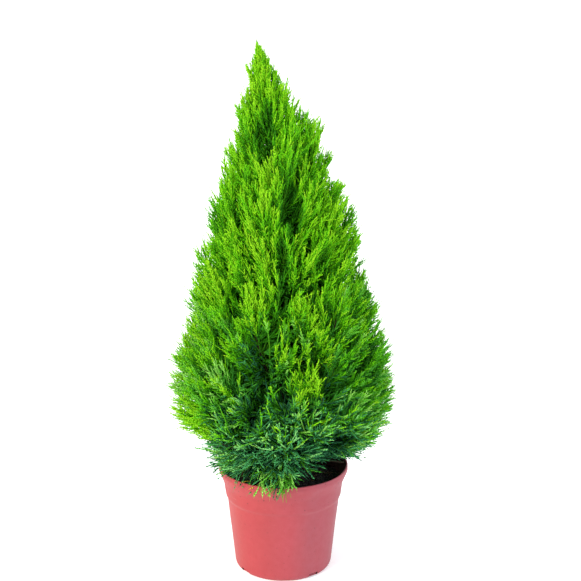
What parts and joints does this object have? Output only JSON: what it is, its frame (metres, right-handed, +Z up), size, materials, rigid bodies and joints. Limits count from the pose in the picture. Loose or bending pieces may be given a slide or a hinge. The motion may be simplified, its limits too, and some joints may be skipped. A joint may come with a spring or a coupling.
{
  "type": "potted lemon cypress",
  "caption": "Young lemon cypress with a narrow crown of feathery upright plumes, growing in a round tapered plastic nursery pot with a collar and a flared lip.",
  "frame": {"origin": "centre of the pot's flat underside, on the ground", "axes": "+Z up along the pot's axis, -Y towards the front of the plant, +X to the right seen from the front"},
  "size_m": [0.2977, 0.2868, 0.6909],
  "materials": {
    "pot": "satin moulded terracotta-coloured plastic",
    "soil": "dark crumbly potting soil",
    "bark": "thin fibrous brown bark",
    "foliage": "fine lime-green needles, deeper green inside"
  },
  "bodies": {
    "root": {"bough_low_1": "bark", "bough_low_2": "bark", "bough_low_3": "bark", "bough_low_4": "bark", "bough_low_5": "bark", "bough_low_6": "bark", "bough_low_7": "bark", "bough_lower_1": "bark", "bough_lower_2": "bark", "bough_lower_3": "bark", "bough_lower_4": "bark", "bough_lower_5": "bark", "bough_lower_6": "bark", "bough_skirt_1": "bark", "bough_skirt_2": "bark", "bough_skirt_3": "bark", "bough_skirt_4": "bark", "bough_skirt_5": "bark", "bough_skirt_6": "bark", "bough_skirt_7": "bark", "plume_crest_1": "foliage", "plume_crest_2": "foliage", "plume_crest_3": "foliage", "plume_crest_4": "foliage", "plume_leader": "foliage", "plume_low_1": "foliage", "plume_low_2": "foliage", "plume_low_3": "foliage", "plume_low_4": "foliage", "plume_low_5": "foliage", "plume_low_6": "foliage", "plume_low_7": "foliage", "plume_lower_1": "foliage", "plume_lower_2": "foliage", "plume_lower_3": "foliage", "plume_lower_4": "foliage", "plume_lower_5": "foliage", "plume_lower_6": "foliage", "plume_middle_1": "foliage", "plume_middle_2": "foliage", "plume_middle_3": "foliage", "plume_middle_4": "foliage", "plume_middle_5": "foliage", "plume_middle_6": "foliage", "plume_skirt_1": "foliage", "plume_skirt_2": "foliage", "plume_skirt_3": "foliage", "plume_skirt_4": "foliage", "plume_skirt_5": "foliage", "plume_skirt_6": "foliage", "plume_skirt_7": "foliage", "plume_upper_1": "foliage", "plume_upper_2": "foliage", "plume_upper_3": "foliage", "plume_upper_4": "foliage", "plume_upper_5": "foliage", "pot": "pot", "soil": "soil", "trunk": "bark"}
  },
  "joints": []
}
